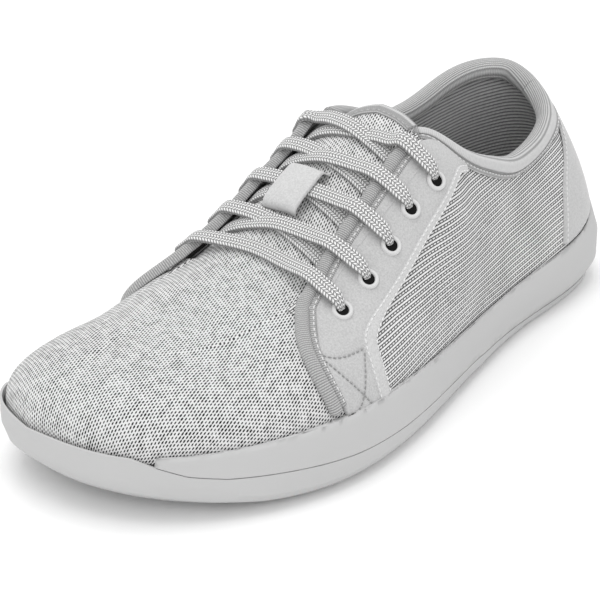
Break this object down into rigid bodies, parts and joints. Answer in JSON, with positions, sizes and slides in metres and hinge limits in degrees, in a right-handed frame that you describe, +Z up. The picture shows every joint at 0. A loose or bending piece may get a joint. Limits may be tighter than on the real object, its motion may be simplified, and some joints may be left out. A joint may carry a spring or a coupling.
{
  "type": "barefoot shoe",
  "caption": "Low flexible lace-up shoe for the left foot: thin wide sole, knitted upper open at the collar, tongue and crossed flat laces.",
  "frame": {"origin": "centre of the shoe's bounding box in plan, on the plane it stands on", "axes": "+Z up, -Y towards the toe, +X towards the outer side of the foot"},
  "size_m": [0.1162, 0.2923, 0.1019],
  "materials": {
    "sole_rubber": "matt moulded",
    "footbed_fabric": "matt woven",
    "upper_knit": "matt knit",
    "nubuck": "matt napped",
    "binding_knit": "matt knit",
    "lace_cord": "matt braided",
    "eyelet_paint": "satin"
  },
  "bodies": {
    "root": {"outsole": "sole_rubber", "midsole": "sole_rubber", "insole": "footbed_fabric", "upper": "upper_knit", "tongue": "upper_knit", "tongue_binding": "binding_knit", "collar_roll": "binding_knit", "heel_counter": "nubuck", "eyestay_outer": "nubuck", "eyestay_inner": "nubuck", "binding_outer": "binding_knit", "binding_inner": "binding_knit", "eyelet_outer_1": "eyelet_paint", "eyelet_outer_2": "eyelet_paint", "eyelet_outer_3": "eyelet_paint", "eyelet_outer_4": "eyelet_paint", "eyelet_outer_5": "eyelet_paint", "eyelet_inner_1": "eyelet_paint", "eyelet_inner_2": "eyelet_paint", "eyelet_inner_3": "eyelet_paint", "eyelet_inner_4": "eyelet_paint", "eyelet_inner_5": "eyelet_paint", "keeper": "nubuck", "lace_bar": "lace_cord", "lace_cross_1": "lace_cord", "lace_cross_2": "lace_cord", "lace_cross_3": "lace_cord", "lace_cross_4": "lace_cord"}
  },
  "joints": []
}
